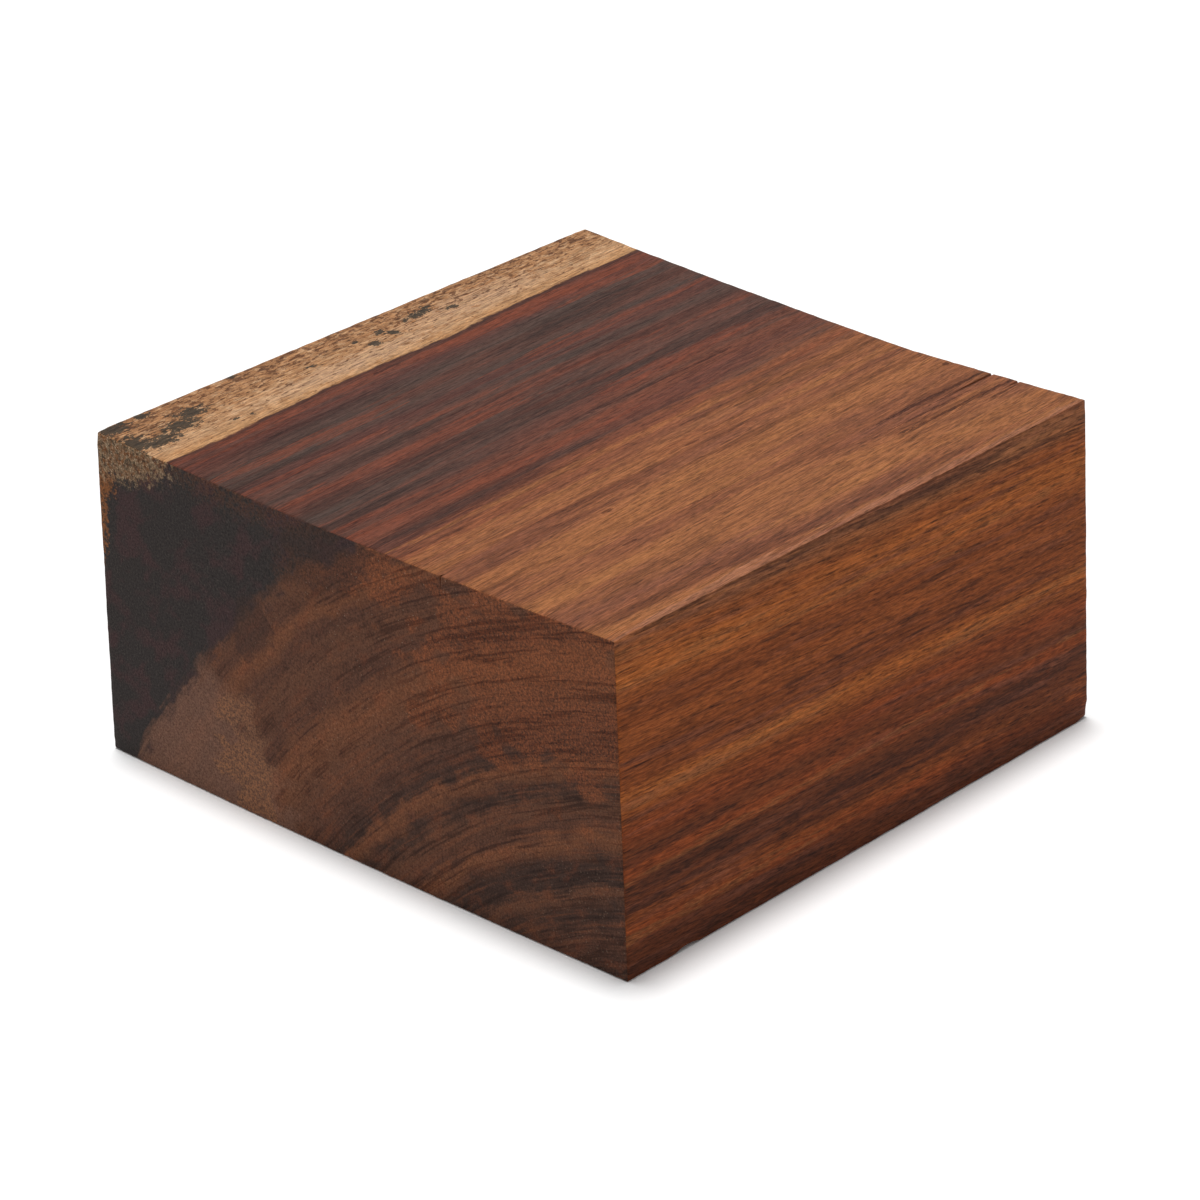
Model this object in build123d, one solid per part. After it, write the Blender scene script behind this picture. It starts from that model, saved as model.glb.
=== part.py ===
from build123d import *
import os

# A wood turning blank: one rough-sawn block of solid timber, nominally 6 x 6 x 3 inches.
# X runs along the grain, Y across it and Z up. The origin is the middle of the sole's box.
# The sapwood side is +Y, and the two sawn ends of the grain face -X and +X.

NODE = "turning_blank"

# Driving dimensions
LENGTH = 151.4  # along the grain, from sawn end to sawn end
WIDTH = 152.4  # across the grain, from side to side
HEIGHT = 77.0  # from the sole to the top face's arrises
ARRIS = 0.4  # radius that handling has put on every sawn edge

CORNER_SIGNS = {
    "front_right": (-1, -1),
    "back_right": (1, -1),
    "back_left": (1, 1),
    "front_left": (-1, 1),
}
# How far each corner stands off a true block (x, y), because the saw was never quite square.
SOLE_ERRORS = {
    "front_right": (0.0, 0.0),
    "back_right": (-0.2, -0.4),
    "back_left": (0.6, 0.2),
    "front_left": (-0.6, 1.1),
}
TOP_ERRORS = {
    "front_right": (-0.9, 1.1),
    "back_right": (-1.4, 1.8),
    "back_left": (1.0, -1.1),
    "front_left": (-0.1, 0.2),
}

# Shape of the faces
TOP_CUP = 0.7  # the top face has dried hollow across its width
FRONT_BULGE = 0.8  # the front end swells in its middle
PASS_FROM_RIGHT = 48.0  # the back end was sawn in two passes that meet this far from the right side
PASS_DEPTH = 3.1  # how far inside the corners they meet
PASS_HOLLOW = 0.2  # extra hollow of the longer pass

# Drying checks that run in from the back end: distance from the right side, length, depth, mouth
BACK_CHECKS = (
    (26.0, 15.0, 5.0, 0.9),
    (19.0, 6.0, 3.5, 0.8),
)
# A fine radial check at the top of the front end: distance from the right side, drop, depth, mouth
FRONT_CHECK = (48.0, 3.2, 1.2, 0.35)

# Knocks
CHIP_PLACE = 18.5  # from the front corner, along the right side's lower arris
CHIP_LENGTH = 7.0
CHIP_DEPTH = 0.6
CORNER_KNOCK = 2.2  # cut back from the lower back right corner, along each arris

OVERSHOOT = 5.0  # how far cutting solids stand clear of the faces that they cut


def corner_points(level):
    """The block's four corners at one level, each side leaning from its sole to its top error."""
    share = level / HEIGHT
    points = {}
    for name, (along, across) in CORNER_SIGNS.items():
        error = Vector(*SOLE_ERRORS[name]) * (1 - share) + Vector(*TOP_ERRORS[name]) * share
        points[name] = Vector(along * LENGTH / 2, across * WIDTH / 2) + error
    return points


def plan_outline(level):
    """The block's outline at one level: plain sides, a swollen front, a back sawn in two passes."""
    corner = corner_points(level)
    share = PASS_FROM_RIGHT / WIDTH
    meeting = corner["back_right"] * (1 - share) + corner["back_left"] * share
    meeting -= Vector(PASS_DEPTH, 0)
    long_pass_middle = (meeting + corner["back_left"]) / 2 - Vector(PASS_HOLLOW, 0)
    front_middle = (corner["front_left"] + corner["front_right"]) / 2 - Vector(FRONT_BULGE, 0)
    edges = [
        Line(corner["front_right"], corner["back_right"]),
        Line(corner["back_right"], meeting),
        ThreePointArc(meeting, long_pass_middle, corner["back_left"]),
        Line(corner["back_left"], corner["front_left"]),
        ThreePointArc(corner["front_left"], front_middle, corner["front_right"]),
    ]
    return Pos(0, 0, level) * make_face(edges)


def cupped_section():
    """What the height keeps: flat below, hollow on top across the width."""
    half = WIDTH / 2 + OVERSHOOT
    rise = TOP_CUP * ((half / (WIDTH / 2)) ** 2 - 1)
    crown_left = (half, HEIGHT + rise)
    crown_right = (-half, HEIGHT + rise)
    edges = [
        Line((-half, 0), (half, 0)),
        Line((half, 0), crown_left),
        ThreePointArc(crown_left, (0, HEIGHT - TOP_CUP), crown_right),
        Line(crown_right, (-half, 0)),
    ]
    return extrude(Plane.YZ * make_face(edges), amount=LENGTH / 2 + OVERSHOOT, both=True)


def sawn_block():
    """The block as it left the saw, with its arrises eased."""
    tall_block = loft([plan_outline(0), plan_outline(HEIGHT + OVERSHOOT)], ruled=True)
    block = tall_block & cupped_section()
    return fillet(block.edges(), ARRIS)


def on_right(point):
    """Y of a place measured across from the right side."""
    return -WIDTH / 2 + point


def wedge(first, second, third, tip):
    """A four-faced sliver, as a drying check or a knocked corner takes out of the wood."""
    triangles = (
        (first, third, second),
        (first, second, tip),
        (second, third, tip),
        (third, first, tip),
    )
    faces = [Face(Wire.make_polygon(triangle, close=True)) for triangle in triangles]
    return Solid(Shell(faces))


def back_check(from_right, length, depth, mouth):
    """A check that opens at the back end's top arris and runs out along the grain."""
    middle = on_right(from_right)
    share = from_right / PASS_FROM_RIGHT
    end = LENGTH / 2 + TOP_ERRORS["back_right"][0] - PASS_DEPTH * share
    outside = end + 2 * mouth
    above = HEIGHT + mouth
    return wedge(
        (outside, middle - mouth / 2, above),
        (outside, middle + mouth / 2, above),
        (outside, middle, HEIGHT - depth),
        (end - length, middle, HEIGHT),
    )


def front_check(from_right, drop, depth, mouth):
    """A fine check that runs down the front end from its top arris."""
    middle = on_right(from_right)
    end = -LENGTH / 2 - FRONT_BULGE
    above = HEIGHT + mouth
    return wedge(
        (end - mouth, middle - mouth / 2, above),
        (end - mouth, middle + mouth / 2, above),
        (end + depth, middle, above),
        (end, middle, HEIGHT - TOP_CUP - drop),
    )


def knocked_corner():
    """The sliver lost from the lower back right corner."""
    corner = corner_points(0)["back_right"]
    reach = 2 * CORNER_KNOCK
    return wedge(
        (corner.X - reach, corner.Y - CORNER_KNOCK, -CORNER_KNOCK),
        (corner.X + CORNER_KNOCK, corner.Y + reach, -CORNER_KNOCK),
        (corner.X + CORNER_KNOCK, corner.Y - CORNER_KNOCK, reach),
        (corner.X + CORNER_KNOCK, corner.Y - CORNER_KNOCK, -CORNER_KNOCK),
    )


def arris_chip():
    """The shallow scoop bruised out of the right side's lower arris."""
    radius = ((CHIP_LENGTH / 2) ** 2 + CHIP_DEPTH**2) / (2 * CHIP_DEPTH)
    corner = corner_points(0)["front_right"]
    outward = (radius - CHIP_DEPTH) / 2**0.5
    return Pos(corner.X + CHIP_PLACE, corner.Y - outward, -outward) * Sphere(radius)


def main():
    block = sawn_block()
    for check in BACK_CHECKS:
        block -= back_check(*check)
    block -= front_check(*FRONT_CHECK)
    block -= knocked_corner()
    block -= arris_chip()
    box = block.bounding_box()
    block = Pos(-box.center().X, -box.center().Y, -box.min.Z) * block
    os.makedirs("parts", exist_ok=True)
    export_step(block, f"parts/{NODE}.step")


main()
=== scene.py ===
import math

import bpy
from mathutils import Matrix, Vector


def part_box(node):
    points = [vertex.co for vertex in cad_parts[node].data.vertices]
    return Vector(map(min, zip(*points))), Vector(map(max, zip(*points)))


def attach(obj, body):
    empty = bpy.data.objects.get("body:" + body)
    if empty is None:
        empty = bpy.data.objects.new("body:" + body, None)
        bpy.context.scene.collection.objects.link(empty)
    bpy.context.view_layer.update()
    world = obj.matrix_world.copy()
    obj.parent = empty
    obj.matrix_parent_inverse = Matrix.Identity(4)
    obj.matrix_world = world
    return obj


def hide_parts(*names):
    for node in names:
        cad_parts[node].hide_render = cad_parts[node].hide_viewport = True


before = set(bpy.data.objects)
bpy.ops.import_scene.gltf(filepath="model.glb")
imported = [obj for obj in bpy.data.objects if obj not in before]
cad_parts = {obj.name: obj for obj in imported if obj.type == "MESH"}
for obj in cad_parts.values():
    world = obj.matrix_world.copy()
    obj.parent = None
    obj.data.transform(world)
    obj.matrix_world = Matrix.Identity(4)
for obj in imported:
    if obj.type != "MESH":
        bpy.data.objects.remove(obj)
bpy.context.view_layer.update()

# The turning blank. One block of figured rosewood-like timber, bandsawn square from the outside
# of a log, so that a strip of pale sapwood runs along one upper arris. It is one solid: sawn,
# left to dry, and a little cupped, bruised and checked since.

MM = 0.001
LENGTH = 151.4 * MM
WIDTH = 152.4 * MM
HEIGHT = 77.0 * MM

low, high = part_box("turning_blank")

# how far each corner stands off a true block, because the saw was never quite square:
# (end, side): sole (x, y), then top (x, y), in millimetres
CORNERS = {
    (-1, -1): ((0.0, 0.0), (-0.9, 1.1)),
    (1, -1): ((-0.2, -0.4), (-1.4, 1.8)),
    (1, 1): ((0.6, 0.2), (1.0, -1.1)),
    (-1, 1): ((-0.6, 1.1), (-0.1, 0.2)),
}
TOP_CUP = 0.7 * MM  # the top has dried hollow across its width
FRONT_BULGE = 0.8 * MM  # the front end swells in its middle
PASS_FROM_RIGHT = 48.0 * MM  # the back end was sawn in two passes that meet this far in
PASS_DEPTH = 3.1 * MM  # how far inside the corners they meet
PASS_HOLLOW = 0.2 * MM  # extra hollow of the longer pass
ARRIS = 0.4 * MM  # how far handling has eased every sawn edge

STATIONS = 16  # coarse slices across the width, which the cup and the end faces are set by
CELL = 1.35 * MM  # size of the fine mesh's faces
NEAR = 1.0 * MM  # a vertex within this of a place is the one that stands there


def pick(mesh, kind, test):
    """Selects only the vertices, edges or faces whose place passes a test."""
    bpy.ops.object.mode_set(mode="OBJECT")
    for part in (mesh.vertices, mesh.edges, mesh.polygons):
        part.foreach_set("select", [False] * len(part))
    for item in getattr(mesh, kind):
        if test(item):
            item.select = True
    bpy.ops.object.mode_set(mode="EDIT")


def along(mesh, edge):
    """Which of X, Y and Z an edge mostly runs along, or None for a slanting one."""
    run = mesh.vertices[edge.vertices[1]].co - mesh.vertices[edge.vertices[0]].co
    for axis in range(3):
        if abs(run[axis]) > 0.9 * run.length:
            return axis
    return None


def edge_length(mesh, edge):
    """The straight distance between an edge's two ends."""
    return (mesh.vertices[edge.vertices[1]].co - mesh.vertices[edge.vertices[0]].co).length


def lean(level, across, end):
    """How far the block's end stands off true, at a share of its width and at its sole or top."""
    right = CORNERS[(end, -1)][level]
    left = CORNERS[(end, 1)][level]
    return tuple((right[i] * (1 - across) + left[i] * across) * MM for i in range(2))


def end_shape(end, across):
    """How far an end face swells or is cut back at a share of the width."""
    if end < 0:
        return -FRONT_BULGE * (1 - (2 * across - 1) ** 2)
    meeting = PASS_FROM_RIGHT / WIDTH
    if across <= meeting:
        return -PASS_DEPTH * across / meeting
    rest = (1 - across) / (1 - meeting)
    return -PASS_DEPTH * rest - PASS_HOLLOW * 4 * rest * (1 - rest)


bpy.ops.object.select_all(action="DESELECT")
bpy.ops.mesh.primitive_cube_add(size=1, location=(0, 0, HEIGHT / 2), scale=(LENGTH, WIDTH, HEIGHT))
blank = bpy.context.object
blank.name = "turning_blank_wood"
bpy.ops.object.transform_apply(location=True, rotation=True, scale=True)
mesh = blank.data
bpy.ops.object.mode_set(mode="EDIT")
bpy.ops.mesh.select_mode(type="EDGE")
pick(mesh, "edges", lambda edge: along(mesh, edge) == 1)
bpy.ops.mesh.subdivide(number_cuts=STATIONS - 1)

# each slice's corners go where the saw and the drying have left them
bpy.ops.mesh.select_mode(type="VERT")
for station in range(STATIONS + 1):
    across = station / STATIONS
    place = (across - 0.5) * WIDTH
    for end in (-1, 1):
        for level in (0, 1):
            off_x, off_y = lean(level, across, end)
            on_side = 1 if station in (0, STATIONS) else 0
            drop = -TOP_CUP * (1 - (2 * across - 1) ** 2) * level
            here = Vector((end * LENGTH / 2, place, level * HEIGHT))
            pick(mesh, "vertices", lambda vertex: (vertex.co - here).length < NEAR)
            bpy.ops.transform.translate(value=(off_x + end_shape(end, across), off_y * on_side, drop))

# the sawn arrises are eased
bpy.ops.mesh.select_mode(type="EDGE")
bpy.ops.mesh.select_all(action="DESELECT")
bpy.ops.object.mode_set(mode="OBJECT")
sharp = math.radians(30)
normals = {}
for face in mesh.polygons:
    for key in face.edge_keys:
        normals.setdefault(key, []).append(face.normal.copy())
for edge in mesh.edges:
    pair = normals[edge.key]
    edge.select = pair[0].angle(pair[1]) > sharp
bpy.ops.object.mode_set(mode="EDIT")
bpy.ops.mesh.bevel(offset=ARRIS, segments=3, profile=0.5)

# every face is divided into fine cells
for axis, size in ((0, LENGTH), (1, WIDTH / STATIONS), (2, HEIGHT)):
    pick(mesh, "edges", lambda edge: along(mesh, edge) == axis and edge_length(mesh, edge) > size / 2)
    bpy.ops.mesh.subdivide(number_cuts=round(size / CELL) - 1)

# handling has knocked five corners round: (end, side, level): passes of smoothing, how far they
# reach in millimetres
KNOCKED_CORNERS = {
    (1, -1, 0): (10, 3.2),
    (-1, 1, 1): (6, 3.0),
    (1, 1, 1): (3, 2.2),
    (-1, 1, 0): (3, 2.2),
    (1, -1, 1): (2, 1.8),
}
bpy.ops.mesh.select_mode(type="VERT")
for (end, side, level), (passes, reach) in KNOCKED_CORNERS.items():
    off_x, off_y = CORNERS[(end, side)][level]
    corner = Vector((end * LENGTH / 2 + off_x * MM, side * WIDTH / 2 + off_y * MM, level * HEIGHT))
    pick(mesh, "vertices", lambda vertex: (vertex.co - corner).length < reach * MM)
    bpy.ops.mesh.vertices_smooth(factor=0.5, repeat=passes)
bpy.ops.object.mode_set(mode="OBJECT")

# how far the swollen front end and the right side stand from the middle of the true block
FRONT_REACH = 77.04 * MM
RIGHT_REACH = 76.59 * MM
blank.location = (low.x + FRONT_REACH, low.y + RIGHT_REACH, 0)
bpy.ops.object.transform_apply(location=True, rotation=False, scale=False)

# the saw and the dry air leave no face quite flat, and handling frets the arrises: what is rough,
# how large its humps are and how high from hollow to crest, in millimetres, and the vertices meant
ROUGHNESS = (
    ("faces", 14.0, 0.14, ""),
    ("arrises", 1.8, 0.2, "arrises"),
)
arris_group = blank.vertex_groups.new(name="arrises")
for face in mesh.polygons:
    slanting = sum(abs(part) > 0.25 for part in face.normal) > 1
    if slanting:
        arris_group.add(list(face.vertices), 1.0, "REPLACE")
for name, hump, rise, group in ROUGHNESS:
    texture = bpy.data.textures.new(name, "CLOUDS")
    texture.noise_scale = hump * MM
    texture.noise_depth = 2
    relief = blank.modifiers.new(name, "DISPLACE")
    relief.texture = texture
    relief.texture_coords = "LOCAL"
    relief.strength = rise * MM
    relief.mid_level = 0.5
    relief.vertex_group = group
    bpy.ops.object.modifier_apply(modifier=name)

# drying checks, each cut out by a sharp sliver: its middle's place along the grain, how far it is in
# from the right side and down from the top, the way its point goes, and its half-depth, half-mouth
# and length, in millimetres
ALONG_GRAIN = (0, math.radians(-90), 0)
DOWNWARDS = (math.radians(180), 0, 0)
CHECKS = (
    (high.x / MM - 11.5, 26.7, 0.2, ALONG_GRAIN, (2.6, 0.55, 17.0)),
    (high.x / MM - 5.0, 19.7, 0.0, ALONG_GRAIN, (2.4, 0.95, 9.0)),
    (low.x / MM + 0.2, 48.5, 2.2, DOWNWARDS, (1.4, 0.3, 5.0)),
)
# the bruise in the right side's lower arris, cut out by a flattened ball
BRUISE_MIDDLE = (low.x + 19.5 * MM, low.y + 0.4 * MM, -0.6 * MM)
BRUISE_HALF_SIZE = (4.4 * MM, 2.2 * MM, 1.5 * MM)

cutters = []
for grainwise, from_right, down, point, size in CHECKS:
    bpy.ops.mesh.primitive_cone_add(
        vertices=4,
        radius1=1,
        radius2=0,
        depth=1,
        location=(grainwise * MM, low.y + from_right * MM, HEIGHT - down * MM),
        rotation=point,
        scale=Vector(size) * MM,
    )
    cutters.append(bpy.context.object)
bpy.ops.mesh.primitive_uv_sphere_add(
    segments=24, ring_count=16, radius=1, location=BRUISE_MIDDLE, scale=BRUISE_HALF_SIZE
)
cutters.append(bpy.context.object)
for cutter in cutters:
    cut = blank.modifiers.new("cut", "BOOLEAN")
    cut.operation = "DIFFERENCE"
    cut.solver = "EXACT"
    cut.object = cutter
    bpy.context.view_layer.objects.active = blank
    bpy.ops.object.modifier_apply(modifier="cut")
    bpy.data.objects.remove(cutter)

# the rough surface doesn't stand out past the block's own size
for vertex in mesh.vertices:
    vertex.co = [min(max(place, near), far) for place, near, far in zip(vertex.co, low, high)]

# The timber's figure follows the log's growth rings, so that the top, the sides and the ends all
# cut through one pattern. Places in it are in millimetres.


def add(tree, kind, inputs=None, **settings):
    """One shader node: its settings, then a value or a link for each input."""
    made = tree.nodes.new(kind)
    for name, value in settings.items():
        setattr(made, name, value)
    for name, value in (inputs or {}).items():
        if isinstance(value, bpy.types.NodeSocket):
            tree.links.new(value, made.inputs[name])
        else:
            made.inputs[name].default_value = value
    return made


def calc(tree, operation, *values):
    """One step of arithmetic on numbers."""
    return add(tree, "ShaderNodeMath", dict(enumerate(values)), operation=operation).outputs[0]


def shift(tree, operation, *values):
    """One step of arithmetic on places."""
    return add(tree, "ShaderNodeVectorMath", dict(enumerate(values)), operation=operation).outputs[0]


def fade(tree, value, start, finish, low=0.0, high=1.0):
    """Goes smoothly from low to high as value goes from start to finish."""
    made = add(tree, "ShaderNodeMapRange", {0: value, 1: start, 2: finish, 3: low, 4: high})
    made.interpolation_type = "SMOOTHSTEP"
    return made.outputs[0]


def blend(tree, share, first, second, how="MIX"):
    """Lays the second colour over the first."""
    made = add(tree, "ShaderNodeMix", data_type="RGBA", blend_type=how)
    for socket, value in ((0, share), (6, first), (7, second)):
        if isinstance(value, bpy.types.NodeSocket):
            tree.links.new(value, made.inputs[socket])
        else:
            made.inputs[socket].default_value = value
    return made.outputs[2]


def rescale(tree, value, start, finish, low, high):
    """Goes evenly from low to high as value goes from start to finish, and on past both."""
    made = add(tree, "ShaderNodeMapRange", {0: value, 1: start, 2: finish, 3: low, 4: high}, clamp=False)
    return made.outputs[0]


def grain_noise(tree, place, cell, detail=2.0, rough=0.5):
    """Noise whose blobs measure cell (x, y, z) millimetres. Centred on 0, about -1 to 1."""
    scaled = shift(tree, "DIVIDE", place, cell)
    kind = {"Vector": scaled, "Scale": 1.0, "Detail": detail, "Roughness": rough}
    noise = add(tree, "ShaderNodeTexNoise", kind)
    return rescale(tree, noise.outputs[0], 0.25, 0.75, -1.0, 1.0)


def new_group(name, inputs, outputs):
    """An empty shader group with named inputs (name, kind, value) and outputs (name, kind)."""
    group = bpy.data.node_groups.new(name, "ShaderNodeTree")
    for label, kind, value in inputs:
        socket = group.interface.new_socket(label, in_out="INPUT", socket_type="NodeSocket" + kind)
        socket.default_value = value
    for label, kind in outputs:
        group.interface.new_socket(label, in_out="OUTPUT", socket_type="NodeSocket" + kind)
    entry = group.nodes.new("NodeGroupInput").outputs
    way_out = group.nodes.new("NodeGroupOutput").inputs
    return group, entry, way_out


def rgb(red, green, blue):
    """A colour written as 0-255 screen values."""
    linear = []
    for value in (red, green, blue):
        share = value / 255
        linear.append(share / 12.92 if share <= 0.04045 else ((share + 0.055) / 1.055) ** 2.4)
    return (*linear, 1.0)


# the log's pith in millimetres where X is 0, outside the block, and how it leans along the grain
PITH = (0.0, -113.0, -111.0)
PITH_LEAN = (0.0, 0.078, -0.052)
ARC = 200.0  # radius that turns ring angle into millimetres

rings, given, made = new_group(
    "growth_rings",
    (
        ("Place", "Vector", (0, 0, 0)),
        ("Pith", "Vector", PITH),
        ("Lean", "Vector", PITH_LEAN),
        ("Waver", "Float", 1.0),
    ),
    (("Ring", "Float"), ("Fibre", "Vector")),
)
grainwise = add(rings, "ShaderNodeSeparateXYZ", {0: given["Place"]}).outputs[0]
run = add(rings, "ShaderNodeCombineXYZ", {0: grainwise, 1: grainwise, 2: grainwise}).outputs[0]
pith_here = shift(rings, "MULTIPLY_ADD", run, given["Lean"], given["Pith"])
spoke = shift(rings, "MULTIPLY", shift(rings, "SUBTRACT", given["Place"], pith_here), (0, 1, 1))
radius = add(rings, "ShaderNodeVectorMath", {0: spoke}, operation="LENGTH").outputs["Value"]
spoke_parts = add(rings, "ShaderNodeSeparateXYZ", {0: spoke})
angle = calc(rings, "ARCTAN2", spoke_parts.outputs[2], spoke_parts.outputs[1])
slow = grain_noise(rings, given["Place"], (260, 40, 40), 1.0)
quick = grain_noise(rings, given["Place"], (34, 9, 9), 2.0)
waver = calc(rings, "MULTIPLY_ADD", slow, 0.8, calc(rings, "MULTIPLY", quick, 0.25))
ring = calc(rings, "ADD", radius, calc(rings, "MULTIPLY", waver, given["Waver"]))
around = calc(rings, "MULTIPLY", angle, ARC)
fibre = add(rings, "ShaderNodeCombineXYZ", {0: grainwise, 1: ring, 2: around})
rings.links.new(ring, made["Ring"])
rings.links.new(fibre.outputs[0], made["Fibre"])

TINTS = {
    "bark_side": rgb(162, 114, 76),
    "sap_gold": rgb(178, 132, 92),
    "sap_cream": rgb(192, 149, 110),
    "edge_line": rgb(70, 42, 34),
    "fire": rgb(108, 56, 40),
    "plum": rgb(86, 50, 42),
    "slate": rgb(76, 58, 51),
    "rust": rgb(92, 55, 44),
    "chestnut": rgb(112, 64, 46),
    "amber": rgb(136, 80, 51),
    "tan": rgb(152, 96, 59),
    "toffee": rgb(130, 78, 53),
    "honey": rgb(170, 95, 43),
    "ginger": rgb(149, 80, 38),
    "cinnamon": rgb(133, 69, 32),
    "cocoa": rgb(104, 54, 28),
    "ember": rgb(138, 67, 31),
    "dusk": rgb(96, 49, 27),
}
# the bands of the sapwood and the outer heart, as (ring radius in millimetres, tint), from the
# bark side inwards
BANDS = (
    (269, "bark_side"),
    (260, "sap_gold"),
    (255, "sap_cream"),
    (252.4, "sap_cream"),
    (252.0, "edge_line"),
    (250.5, "fire"),
    (248, "plum"),
    (244, "slate"),
    (241.5, "rust"),
    (239, "slate"),
    (236.5, "plum"),
    (233, "slate"),
    (229, "rust"),
    (226, "slate"),
    (222, "rust"),
    (219, "chestnut"),
    (215.5, "rust"),
    (213, "amber"),
    (211, "toffee"),
    (208.5, "tan"),
    (206.5, "toffee"),
    (203, "tan"),
    (199, "toffee"),
    (196, "tan"),
    (193, "toffee"),
    (190, "tan"),
)
# the inner heart's bands
DEEP_BANDS = (
    (190, "tan"),
    (186, "ginger"),
    (180.5, "honey"),
    (176, "ginger"),
    (171, "cinnamon"),
    (167, "ginger"),
    (162.5, "cinnamon"),
    (158, "cinnamon"),
    (154, "honey"),
    (150, "cinnamon"),
    (146, "ember"),
    (142, "cocoa"),
    (139, "ember"),
    (136, "cocoa"),
    (132, "dusk"),
    (128, "cinnamon"),
    (125, "ember"),
    (122, "dusk"),
    (114, "dusk"),
)
# sawn across, the same bands drink in dirt and wax and go darker and greyer
END_TINTS = {
    "end_black": rgb(52, 46, 44),
    "end_umber": rgb(92, 60, 46),
    "end_brown": rgb(104, 68, 50),
    "end_rust": rgb(124, 78, 53),
    "end_dark": rgb(68, 48, 40),
}
END_BANDS = (
    (270, "end_black"),
    (217, "end_black"),
    (213.5, "end_brown"),
    (210, "end_umber"),
    (206.5, "end_rust"),
    (203, "end_umber"),
    (198, "end_brown"),
    (191, "end_umber"),
    (184, "end_rust"),
    (177, "end_brown"),
    (170, "end_umber"),
    (164.5, "end_dark"),
    (161.5, "end_rust"),
    (158, "end_dark"),
    (153, "end_brown"),
    (149, "end_umber"),
    (145.5, "end_rust"),
    (141.5, "end_dark"),
    (137, "end_dark"),
    (134, "end_brown"),
    (130.5, "end_dark"),
    (124, "end_umber"),
    (116, "end_dark"),
)


def band_ramp(tree, ring, bands, tints):
    """A colour ramp over ring radius."""
    outermost, innermost = bands[0][0], bands[-1][0]
    ramp = add(tree, "ShaderNodeValToRGB", {0: rescale(tree, ring, innermost, outermost, 0.0, 1.0)})
    steps = ramp.color_ramp.elements
    for radius, tint in sorted(bands):
        place = (radius - innermost) / (outermost - innermost)
        if radius == innermost:
            step = steps[0]
        elif radius == outermost:
            step = steps[len(steps) - 1]
        else:
            step = steps.new(place)
        step.position = place
        step.color = tints[tint]
    return ramp.outputs[0]


timber = bpy.data.materials.new("timber")
timber.use_nodes = True
wood = timber.node_tree
wood.nodes.clear()
coordinates = add(wood, "ShaderNodeTexCoord")
in_millimetres = {"Vector": coordinates.outputs["Object"], "Scale": (1 / MM, 1 / MM, 1 / MM)}
place = add(wood, "ShaderNodeMapping", in_millimetres).outputs[0]
facing = add(wood, "ShaderNodeSeparateXYZ", {0: coordinates.outputs["Normal"]})
end_grain = fade(wood, calc(wood, "ABSOLUTE", facing.outputs[0]), 0.55, 0.8)

along_grain = add(wood, "ShaderNodeSeparateXYZ", {0: place}).outputs[0]
figure = add(wood, "ShaderNodeGroup", {}, node_tree=rings)
wood.links.new(place, figure.inputs["Place"])
ring = figure.outputs["Ring"]
fibre = figure.outputs["Fibre"]


def product(*factors):
    """Several shares multiplied together."""
    result = factors[0]
    for factor in factors[1:]:
        result = calc(wood, "MULTIPLY", result, factor)
    return result


def darker(colour, share, amount):
    """Multiplies a colour down by an amount where share is 1."""
    tone = (1 - amount, 1 - amount * 1.12, 1 - amount * 1.15, 1)
    return blend(wood, share, colour, tone, "MULTIPLY")


def zone(inner, outer, soft=2.0):
    """1 between two ring radii."""
    rise = fade(wood, ring, inner - soft, inner + soft)
    fall = fade(wood, ring, outer + soft, outer - soft)
    return product(rise, fall)


def blots(spots, ragged):
    """1 inside any of some soft-edged, ragged blots, each given as its centre and its size."""
    nearest = None
    for centre, size in spots:
        shrink = tuple(1 / reach for reach in size)
        start = tuple(-middle / reach for middle, reach in zip(centre, size))
        off = shift(wood, "MULTIPLY_ADD", place, shrink, start)
        gap = add(wood, "ShaderNodeVectorMath", {0: off}, operation="LENGTH").outputs["Value"]
        nearest = gap if nearest is None else calc(wood, "MINIMUM", nearest, gap)
    return fade(wood, calc(wood, "ADD", nearest, ragged), 1.15, 0.85)


def on_top(from_front, from_left):
    """A place on the top face, measured from its front left corner."""
    return (low.x / MM + from_front, high.y / MM - from_left, high.z / MM)


def shaded(colour, share):
    """Makes a colour lighter or darker by a share that lies about 1."""
    tone = add(wood, "ShaderNodeCombineColor", {0: share, 1: share, 2: share}).outputs[0]
    return blend(wood, 1.0, colour, tone, "MULTIPLY")


# long grain: noises from broad bands down to single fibres
broad = grain_noise(wood, fibre, (170, 5, 70), 1.0)
veins = grain_noise(wood, fibre, (90, 1.0, 4.5), 2.0, 0.6)
threads = grain_noise(wood, fibre, (130, 0.75, 0.9), 3.0, 0.65)
hairs = grain_noise(wood, fibre, (60, 0.3, 0.34), 1.0, 0.7)
flames = grain_noise(wood, shift(wood, "ADD", fibre, (300, 7, 11)), (110, 2.4, 6), 2.0, 0.6)
tone = grain_noise(wood, shift(wood, "ADD", fibre, (90, 40, 17)), (120, 2.6, 7), 2.0, 0.6)
pores = grain_noise(wood, fibre, (13, 0.34, 0.36), 1.0, 0.6)
cloud = grain_noise(wood, place, (40, 9, 7), 2.0, 0.6)
speckle = grain_noise(wood, place, (3.6, 1.4, 1.4), 3.0, 0.65)
grit = grain_noise(wood, place, (2, 0.5, 0.5), 2.0, 0.8)
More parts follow.
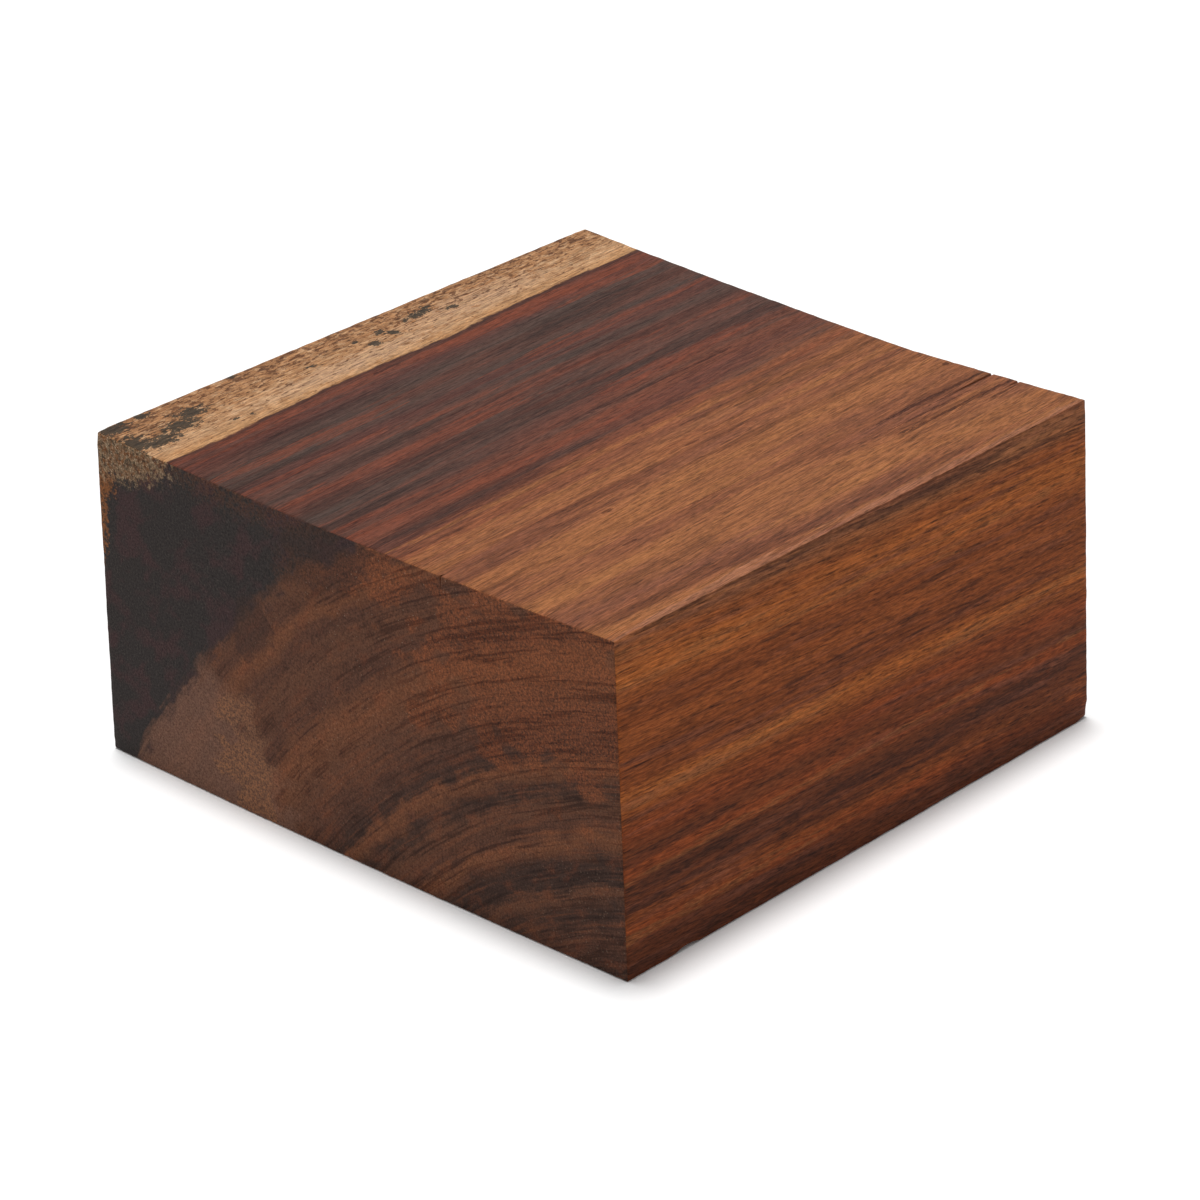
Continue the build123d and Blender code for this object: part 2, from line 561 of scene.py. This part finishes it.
# the dark heart's edge comes inwards towards the front end
drift = calc(wood, "MULTIPLY", zone(205, 222, 8.0), calc(wood, "MULTIPLY", along_grain, -0.04))
drifted_ring = calc(wood, "ADD", ring, drift)
streaked_ring = calc(wood, "MULTIPLY_ADD", broad, 1.2, drifted_ring)
streaked_ring = calc(wood, "MULTIPLY_ADD", veins, 1.3, streaked_ring)
outer = band_ramp(wood, calc(wood, "MINIMUM", streaked_ring, 251.3), BANDS, TINTS)
inner = band_ramp(wood, streaked_ring, DEEP_BANDS, TINTS)
long_grain = blend(wood, fade(wood, streaked_ring, 188.5, 191.5), inner, outer)

# cooler and warmer stretches: grey-brown and rusty in the dark heart, plum and gold in the tan
GREY_BROWN, PLUM_TAN = rgb(70, 60, 55), rgb(116, 71, 55)
RUSTY, GOLD_TAN = rgb(116, 64, 49), rgb(166, 107, 63)
tan_share = fade(wood, drifted_ring, 213, 207)
cool = blend(wood, tan_share, GREY_BROWN, PLUM_TAN)
warm = blend(wood, tan_share, RUSTY, GOLD_TAN)
warm_share = product(fade(wood, tone, 0.0, -0.8), fade(wood, ring, 170, 186), 0.4)
long_grain = blend(wood, product(fade(wood, tone, 0.0, 0.8), 0.46), long_grain, cool)
long_grain = blend(wood, warm_share, long_grain, warm)

# streaks that lie along the grain, by where their middle is, half their length, half their width:
# on the top, from the front and from the left; on the right side, from the front and downwards
TOP_FIERY = (
    (55, 25.6, 46, 1.3),
    (108, 24.5, 26, 2.0),
    (136, 28.0, 18, 1.6),
    (24, 38.8, 24, 1.9),
    (18, 47.3, 30, 0.8),
    (60, 50.0, 24, 0.7),
    (128, 43.0, 30, 1.5),
    (32, 58.0, 44, 1.6),
    (92, 55.0, 30, 1.0),
    (110, 67.8, 26, 1.7),
    (30, 79.5, 40, 1.6),
    (36, 24.3, 22, 0.8),
)
TOP_BLACK = (
    (30, 32.0, 26, 1.6),
    (8, 43.2, 22, 1.6),
    (55, 52.6, 60, 1.5),
    (120, 53.6, 36, 1.4),
    (75, 63.6, 90, 2.7),
    (115, 35.0, 40, 3.0),
    (94, 73.6, 30, 0.4),
    (8, 73.0, 16, 2.2),
    (26, 85.8, 34, 2.4),
    (128, 94.0, 30, 1.6),
    (55, 103.0, 40, 0.9),
    (112, 108.0, 36, 0.8),
    (136, 124.3, 22, 1.7),
    (126, 131.8, 30, 1.8),
    (26, 145.5, 24, 1.5),
    (66, 147.5, 22, 1.1),
    (110, 148.0, 40, 1.2),
    (5, 117.0, 14, 0.8),
)
TOP_GOLD = (
    (24, 96.5, 30, 1.6),
    (75, 90.3, 60, 1.0),
    (120, 100.5, 40, 1.7),
    (90, 112.0, 50, 1.2),
    (50, 120.0, 44, 1.4),
    (20, 131.0, 24, 1.5),
    (95, 141.0, 34, 1.2),
    (34, 150.8, 36, 1.4),
    (84, 150.4, 40, 1.3),
    (128, 149.8, 34, 1.6),
)
# small dark ticks in the top: torn fibres and knots, and painted shade along and beyond the cracks of the
# two checks near the back
TICKS_AND_CHECK_SHADE = (
    (44, 110.4, 2.0, 0.5),
    (80.5, 101.0, 2.4, 0.4),
    (147.5, 116.0, 0.9, 0.7),
    (36, 124.0, 2.2, 0.35),
    (132, 125.0, 18, 0.55),
    (140, 127.4, 12, 0.35),
    (122, 129.2, 16, 0.3),
    (134, 132.4, 20, 0.5),
    (143, 135.2, 6, 0.3),
    (100, 74.0, 24, 0.3),
    (62, 121.5, 6, 0.3),
    (26, 31.0, 3.0, 0.35),
    (66, 24.2, 4.0, 0.4),
)
# dark streaks in the right side; the first two are a painted shadow line just under the top's right arris
SIDE_BLACK_AND_ARRIS_SHADOW = (
    (70, 0.1, 84, 0.5),
    (12, 0.2, 14, 0.9),
    (66, 1.4, 20, 0.7),
    (108, 2.4, 34, 1.2),
    (132, 5.0, 24, 0.9),
    (49, 16.6, 7, 0.9),
    (102, 23.2, 9, 0.6),
    (116, 17.0, 2.2, 1.0),
    (66, 29.5, 50, 0.6),
    (104, 33.5, 34, 0.6),
    (16, 50.4, 22, 1.3),
    (20, 57.0, 28, 1.6),
    (24, 61.2, 34, 1.2),
    (118, 60.5, 44, 1.8),
    (75, 64.5, 30, 1.0),
    (52, 72.2, 16, 0.9),
    (24, 75.0, 34, 1.2),
    (128, 71.5, 30, 3.0),
)
SIDE_GOLD = (
    (10, 4.5, 14, 1.8),
    (22, 11.0, 26, 1.4),
    (75, 15.2, 34, 1.4),
    (122, 17.6, 24, 1.2),
    (30, 37.6, 34, 1.5),
    (125, 40.0, 30, 1.2),
    (62, 54.4, 90, 0.7),
    (42, 67.8, 32, 1.3),
)
PAINTED_SHEEN_EDGE = ((75, 152.2, 90, 2.2),)  # a painted pinkish sheen along the top's right arris
DEEP = 9.0  # how far below the surface a streak goes
FIERY = rgb(138, 70, 46)
GOLDEN = rgb(172, 112, 66)
ROSY_SHEEN = rgb(168, 114, 90)
BLACKISH_AND_SHADE = rgb(62, 34, 24)


def top_streaks(streaks, ragged):
    """Streaks in the top face."""
    spots = [(on_top(x, y), (reach, half, DEEP)) for x, y, reach, half in streaks]
    return product(blots(spots, ragged), fade(wood, facing.outputs[2], 0.55, 0.8))


def side_streaks(streaks, ragged):
    """Streaks in the right side."""
    spots = []
    for from_front, down, reach, half in streaks:
        spots.append(((low.x / MM + from_front, low.y / MM, high.z / MM - down), (reach, DEEP, half)))
    return product(blots(spots, ragged), fade(wood, facing.outputs[1], -0.55, -0.8))


frayed = product(calc(wood, "ADD", flames, product(threads, 0.9)), 0.8)
heart_flames = product(fade(wood, flames, 0.2, 1.0), zone(208, 251))
fiery = calc(wood, "MAXIMUM", top_streaks(TOP_FIERY, frayed), heart_flames)
fiery = product(fiery, fade(wood, threads, 0.9, -0.7))
long_grain = blend(wood, product(fiery, 0.58), long_grain, FIERY)
side_gold = product(side_streaks(SIDE_GOLD, frayed), 0.7)
golden = calc(wood, "MAXIMUM", top_streaks(TOP_GOLD, frayed), side_gold)
golden = product(golden, fade(wood, threads, 1.0, -0.6))
long_grain = blend(wood, product(golden, 0.52), long_grain, GOLDEN)
# painted sheen: a pale pinkish highlight along the top's right arris
long_grain = blend(wood, product(top_streaks(PAINTED_SHEEN_EDGE, frayed), 0.5), long_grain, ROSY_SHEEN)
long_grain = darker(long_grain, product(top_streaks(TOP_BLACK, frayed), 0.7), 0.4)
# dark streaks in the right side, and a painted shadow line under its top arris
long_grain = blend(wood, product(side_streaks(SIDE_BLACK_AND_ARRIS_SHADOW, frayed), 0.45), long_grain, BLACKISH_AND_SHADE)
long_grain = darker(long_grain, product(fade(wood, veins, 0.0, 1.0), 0.85), 0.38)
# dark ticks, partly painted shade along the back checks' cracks
long_grain = darker(long_grain, product(top_streaks(TICKS_AND_CHECK_SHADE, product(grit, 0.5)), 0.85), 0.62)

# sapwood: mottled, brown and weathered along its outer arris, with a pale bloom and black mould
SAP_EDGE = 252.0  # ring radius where the sapwood meets the heart
SAP_BROWN, SAP_PALE, SAP_GINGER = rgb(146, 98, 62), rgb(210, 172, 134), rgb(190, 138, 88)
BLOOM_PALE, WEATHERED_BROWN, MOULD_BLACK = rgb(198, 164, 136), rgb(90, 54, 33), rgb(52, 47, 39)
BLOOM = ((on_top(62, 17), (30, 4, 6)), (on_top(105, 12), (24, 5, 6)))
sap_ring = calc(wood, "MULTIPLY_ADD", cloud, 0.8, calc(wood, "MULTIPLY_ADD", speckle, 0.3, ring))
sap = fade(wood, sap_ring, SAP_EDGE - 0.2, SAP_EDGE + 0.3)
sap_colour = band_ramp(wood, calc(wood, "MAXIMUM", sap_ring, SAP_EDGE + 0.4), BANDS, TINTS)
sap_colour = blend(wood, product(fade(wood, speckle, 0.0, 0.7), 0.62), sap_colour, SAP_BROWN)
sap_colour = blend(wood, product(fade(wood, speckle, 0.0, -0.7), 0.6), sap_colour, SAP_PALE)
sap_colour = blend(wood, product(fade(wood, sap_ring, 255.5, 252.6), 0.5), sap_colour, SAP_GINGER)
bloom = product(blots(BLOOM, product(speckle, 0.9)), fade(wood, speckle, -0.8, 0.6), 0.5)
sap_colour = blend(wood, bloom, sap_colour, BLOOM_PALE)
flecks = grain_noise(wood, shift(wood, "ADD", place, (50, 50, 50)), (2.2, 0.85, 0.85), 3.0, 0.7)
weather = calc(wood, "MULTIPLY_ADD", fade(wood, ring, 254, 264), -0.42, 0.42)
weathered = fade(wood, calc(wood, "SUBTRACT", flecks, weather), 0.0, 0.22)
sap_colour = blend(wood, product(weathered, 0.85), sap_colour, WEATHERED_BROWN)
smear = product(fade(wood, sap_ring, 246.5, 251), fade(wood, flames, -0.2, 0.8), 0.5)
long_grain = darker(long_grain, smear, 0.4)
off_line = calc(wood, "ABSOLUTE", calc(wood, "SUBTRACT", sap_ring, SAP_EDGE - 0.4))
line_share = fade(wood, off_line, 0.6, 0.15)
long_grain = blend(wood, sap, long_grain, sap_colour)
long_grain = blend(wood, product(line_share, 0.8), long_grain, TINTS["edge_line"])
MOULD = (
    (on_top(4, 3), (4.5, 2.4, 4)),
    (on_top(2, 12), (4.5, 3.6, 4)),
    (on_top(7.5, 15), (5, 2.2, 4)),
    (on_top(16, 12), (4.5, 2.4, 4)),
    (on_top(21.5, 9), (4, 2.4, 4)),
    (on_top(13, 2.5), (2.2, 1.4, 3)),
    (on_top(26, 18.5), (0.8, 0.6, 2)),
    (on_top(30, 19.5), (0.7, 0.6, 2)),
    (on_top(74, 12.7), (1.7, 1.2, 3)),
    (on_top(79, 9.2), (1.5, 1.4, 3)),
    (on_top(81, 11.5), (1.5, 1.2, 3)),
    (on_top(92, 8), (3.4, 1.4, 3)),
    (on_top(95.5, 6.8), (1.6, 0.8, 3)),
    (on_top(71, 9), (0.8, 0.6, 2)),
    (on_top(87, 9), (0.8, 0.6, 2)),
    (on_top(100, 11), (1.6, 0.8, 2)),
    (on_top(40, 2), (1.2, 0.8, 2)),
    (on_top(56, 11), (1.6, 0.5, 2)),
)
crumbs = grain_noise(wood, place, (1.3, 0.9, 0.9), 3.0, 0.75)
mould = blots(MOULD, product(crumbs, 1.1))
long_grain = blend(wood, product(mould, 0.92), long_grain, MOULD_BLACK)

# fine pores and fibres all over the long grain, strongest in the inner heart
long_grain = darker(long_grain, fade(wood, pores, 0.25, 0.6), 0.34)
coarse = product(threads, fade(wood, ring, 196, 186, 0.22, 0.48), fade(wood, sap, 0, 1, 1.0, 0.6))
hair_share = fade(wood, ring, 205, 214, 0.38, 0.28)
fine = calc(wood, "MULTIPLY_ADD", hairs, hair_share, calc(wood, "MULTIPLY_ADD", grit, 0.4, 0.99))
long_grain = shaded(long_grain, calc(wood, "ADD", coarse, fine))

# end grain: black with old wax and dirt over its outer third, brown arcs within, pale specks, and a
# painted sheen of open pores. Its patches are the same in both ends, so each goes all the way through: its
# middle and half-size
THROUGH = 400
# orange patches of the end grain, dotted by the grit: partly the wood's colour, partly painted sheen of
# open pores
ORANGE_AND_SHEEN_SPOTS = (
    ((0, -58, 60), (THROUGH, 38, 20)),
    ((0, -20, 42), (THROUGH, 3.5, 3)),
    ((0, 2, 70), (THROUGH, 24, 6)),
)
PLAIN_SPOTS = (((0, 24, 46), (THROUGH, 30, 24)), ((0, 52, 6), (THROUGH, 30, 26)))
PALE_SPOTS = (((0, 55, -3), (THROUGH, 35, 35)),)
PALE_EDGE_SPOTS = (((0, 32, 12), (THROUGH, 8, 16)),)
SOOT_SPOTS = (((0, 7, 70), (THROUGH, 13, 9)), ((0, 29, 46), (THROUGH, 6, 7)))
SCUFF_SPOTS = (((0, 32, 78), (THROUGH, 30, 7)), ((0, 12, 62), (THROUGH, 9, 7)))
CORNER_SPOTS = (((0, 78, 79), (THROUGH, 26, 12)),)
FRINGE_SPOTS = (((0, 77, 66), (THROUGH, 6, 4)), ((0, 78, 59), (THROUGH, 4, 13)))
ORANGE_AND_SHEEN, ARC_PALE, BLOTCH_RUST = rgb(156, 84, 46), rgb(134, 78, 50), rgb(136, 74, 46)
PATCH_PALE, PATCH_EDGE, SCUFFED = rgb(124, 90, 74), rgb(150, 100, 62), rgb(108, 66, 42)
WINE, ASH, SOOT = rgb(70, 48, 48), rgb(112, 96, 84), rgb(62, 44, 38)
CORNER_GREY, CORNER_ORANGE, CORNER_PALE = rgb(146, 120, 92), rgb(134, 86, 50), rgb(198, 176, 148)
FRINGE_ORANGE, CORNER_MOULD, SPECK_PALE = rgb(150, 92, 50), rgb(54, 46, 36), rgb(204, 174, 148)

arcs = grain_noise(wood, fibre, (200, 0.9, 26), 3.0, 0.65)
blotch = grain_noise(wood, shift(wood, "ADD", fibre, (20, 60, 90)), (60, 4.5, 10), 3.0, 0.7)
end_ring = calc(wood, "MULTIPLY_ADD", cloud, 1.6, calc(wood, "MULTIPLY_ADD", arcs, 1.1, ring))
end_ring = calc(wood, "MULTIPLY_ADD", blotch, 1.6, calc(wood, "MULTIPLY_ADD", speckle, 0.5, end_ring))
ends = band_ramp(wood, end_ring, END_BANDS, END_TINTS)
heart_end = fade(wood, end_ring, 218, 211)
# orange dots: partly the wood's colour, partly painted sheen of open pores
orange_and_sheen = product(blots(ORANGE_AND_SHEEN_SPOTS, product(cloud, 0.6)), heart_end, fade(wood, grit, -1.0, 0.8))
ends = blend(wood, product(orange_and_sheen, 0.5), ends, ORANGE_AND_SHEEN)
worn_plain = blots(PLAIN_SPOTS, cloud)
arc_share = product(heart_end, calc(wood, "MULTIPLY_ADD", worn_plain, -0.8, 1.0))
ends = darker(ends, product(arc_share, fade(wood, arcs, 0.0, 0.6)), 0.46)
ends = blend(wood, product(arc_share, fade(wood, arcs, 0.0, -0.8), 0.4), ends, ARC_PALE)
blotch_share = calc(wood, "MULTIPLY_ADD", heart_end, 0.4, 0.3)
ends = darker(ends, product(fade(wood, blotch, 0.0, 0.9), blotch_share), 0.4)
ends = blend(wood, product(fade(wood, blotch, 0.0, -0.9), heart_end, 0.3), ends, BLOTCH_RUST)
pale_patch = blots(PALE_SPOTS, product(cloud, 0.2))
pale_edge = product(pale_patch, blots(PALE_EDGE_SPOTS, cloud))
pale_patch = product(pale_patch, fade(wood, end_ring, 217.5, 214))
ends = blend(wood, product(pale_patch, 0.7), ends, PATCH_PALE)
ends = blend(wood, product(pale_edge, fade(wood, grit, -0.4, 0.5), 0.6), ends, PATCH_EDGE)
stain = fade(wood, end_ring, 212, 218)
mottle = calc(wood, "MULTIPLY_ADD", blotch, 0.6, cloud)
ends = blend(wood, product(stain, fade(wood, mottle, -0.2, 0.7), 0.75), ends, WINE)
ends = blend(wood, product(stain, fade(wood, grit, 0.6, 1.4), 0.45), ends, ASH)
ends = blend(wood, product(blots(SOOT_SPOTS, product(mottle, 0.6)), 0.55), ends, SOOT)
scuffs = product(blots(SCUFF_SPOTS, speckle), fade(wood, speckle, -0.6, 0.6))
ends = blend(wood, product(scuffs, 0.5), ends, SCUFFED)

# the sapwood's corner of the ends: dirty grey, orange where it is bare, black blotches
corner_frayed = calc(wood, "MULTIPLY_ADD", crumbs, 0.22, product(speckle, 0.16))
end_corner = blots(CORNER_SPOTS, corner_frayed)
fringe_frayed = calc(wood, "MULTIPLY_ADD", crumbs, 0.3, product(speckle, 0.3))
end_fringe = blots(FRINGE_SPOTS, fringe_frayed)
corner_colour = blend(wood, fade(wood, speckle, -0.4, 0.5), CORNER_GREY, CORNER_ORANGE)
corner_colour = blend(wood, product(fade(wood, grit, 0.2, 0.8), 0.7), corner_colour, CORNER_PALE)
ends = blend(wood, product(end_fringe, 0.8), ends, FRINGE_ORANGE)
ends = blend(wood, product(end_corner, 0.9), ends, corner_colour)
end_mould = product(calc(wood, "MAXIMUM", end_corner, end_fringe), fade(wood, crumbs, -0.05, 0.35))
ends = blend(wood, product(end_mould, 0.75), ends, CORNER_MOULD)

# pale specks, one to a cell, some of them bright and some too faint to see
speck_cells = shift(wood, "DIVIDE", place, (6, 0.8, 0.8))
voronoi = add(wood, "ShaderNodeTexVoronoi", {"Vector": speck_cells, "Scale": 1.0})
speck_strength = add(wood, "ShaderNodeSeparateColor", {0: voronoi.outputs["Color"]}).outputs[0]
specks = product(fade(wood, voronoi.outputs["Distance"], 0.32, 0.14), fade(wood, speck_strength, 0.3, 0.9))
# the grit lightens and darkens the end grain in fine dots: partly its texture, partly painted sheen of
# open pores
ends = shaded(ends, calc(wood, "MULTIPLY_ADD", grit, 0.66, 1.02))
speck_share = product(specks, calc(wood, "MULTIPLY_ADD", heart_end, 0.5, 0.15))
ends = blend(wood, speck_share, ends, SPECK_PALE)

# dry, unpolished wood: matt, with the finest grit as bump
bump = add(wood, "ShaderNodeBump", {"Strength": 0.3, "Distance": 0.15 * MM, "Height": grit}).outputs[0]
surfaces = []
for colour in (long_grain, ends):
    matt = {"Base Color": colour, "Roughness": 0.6, "Specular IOR Level": 0.08, "Normal": bump}
    surfaces.append(add(wood, "ShaderNodeBsdfPrincipled", matt).outputs[0])
surface = add(wood, "ShaderNodeMixShader", {0: end_grain, 1: surfaces[0], 2: surfaces[1]})
add(wood, "ShaderNodeOutputMaterial", {0: surface.outputs[0]})
mesh.materials.clear()
mesh.materials.append(timber)

bpy.ops.object.select_all(action="DESELECT")
blank.select_set(True)
bpy.context.view_layer.objects.active = blank
bpy.ops.object.shade_smooth_by_angle(angle=math.radians(35))

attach(blank, "root")
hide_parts("turning_blank")

# The table top it stands on: plain matt white, lit evenly, with only the block's shadow on it. It
# lies a hair below the sole, so that the two don't share one plane.

FLOOR = 6.0  # side of the table top
HAIR = 0.05 * MM
FLOOR_SEEN = (1.15, 1.15, 1.15, 1)  # its colour to the eye
FLOOR_LIT = (0.9, 0.9, 0.9, 1)  # its colour as the light that it throws back


def seen_share(tree):
    """1 where a thing is looked at, straight, in gloss or through glass, and 0 where it lights."""
    rays = add(tree, "ShaderNodeLightPath").outputs
    straight_or_gloss = calc(tree, "MAXIMUM", rays["Is Camera Ray"], rays["Is Glossy Ray"])
    return calc(tree, "MAXIMUM", straight_or_gloss, rays["Is Transmission Ray"])


bpy.ops.object.select_all(action="DESELECT")
bpy.ops.mesh.primitive_plane_add(size=FLOOR, location=(0, 0, -HAIR))
floor = bpy.context.object
floor.name = "floor"
white = bpy.data.materials.new("matt_white")
white.use_nodes = True
tree = white.node_tree
tree.nodes.clear()
shade = blend(tree, seen_share(tree), FLOOR_LIT, FLOOR_SEEN)
matt = add(tree, "ShaderNodeBsdfDiffuse", {"Color": shade})
add(tree, "ShaderNodeOutputMaterial", {0: matt.outputs[0]})
floor.data.materials.append(white)

# Studio light: an even white room, and one broad soft lamp high up and a little behind the block,
# which throws the short shadow in front of it.

ROOM_LIGHT = 0.3  # how strongly the room lights things, while it looks plain white itself
LAMP_AZIMUTH = 162
LAMP_ELEVATION = 85.8
LAMP_POWER = 2.2
LAMP_SPREAD = 10  # degrees across, which softens the shadow's edge
world = bpy.data.worlds.new("room")
bpy.context.scene.world = world
world.use_nodes = True
tree = world.node_tree
tree.nodes.clear()
strength = calc(tree, "MULTIPLY_ADD", seen_share(tree), 1 - ROOM_LIGHT, ROOM_LIGHT)
sky = add(tree, "ShaderNodeBackground", {"Color": (1, 1, 1, 1), "Strength": strength})
add(tree, "ShaderNodeOutputWorld", {0: sky.outputs[0]})


def aim(azimuth, elevation):
    """Unit vector from the block towards a lamp or the camera. Azimuth 0 is at -Y, +90 at +X."""
    azimuth, elevation = math.radians(azimuth), math.radians(elevation)
    flat = math.cos(elevation)
    return Vector((math.sin(azimuth) * flat, -math.cos(azimuth) * flat, math.sin(elevation)))


lamp = bpy.data.lights.new("back_lamp", "SUN")
lamp.energy = LAMP_POWER
lamp.angle = math.radians(LAMP_SPREAD)
holder = bpy.data.objects.new("back_lamp", lamp)
holder.rotation_euler = aim(LAMP_AZIMUTH, LAMP_ELEVATION).to_track_quat("Z", "Y").to_euler()
bpy.context.scene.collection.objects.link(holder)

# The camera, a long lens at a seated eye's height, looking at the corner between the front end
# and the right side.

VIEW_AZIMUTH = -46.74
VIEW_ELEVATION = 26.48
VIEW_ROLL = 1.19
VIEW_DISTANCE = 1.030
VIEW_HEIGHT = 0.0327  # how far above the table the camera is aimed
FOCAL_LENGTH = 141.2
FILM_WIDTH = 36
FARTHEST = 50  # how far the camera sees
lens = bpy.data.cameras.new("camera")
lens.lens = FOCAL_LENGTH
lens.sensor_width = FILM_WIDTH
lens.clip_end = FARTHEST
camera = bpy.data.objects.new("camera", lens)
back = aim(VIEW_AZIMUTH, VIEW_ELEVATION)
roll = Matrix.Rotation(math.radians(-VIEW_ROLL), 4, "Z")
turn = back.to_track_quat("Z", "Y").to_matrix().to_4x4() @ roll
camera.matrix_world = Matrix.Translation(Vector((0, 0, VIEW_HEIGHT)) + back * VIEW_DISTANCE) @ turn
bpy.context.scene.collection.objects.link(camera)
bpy.context.scene.camera = camera
bpy.context.scene.view_settings.view_transform = "Standard"
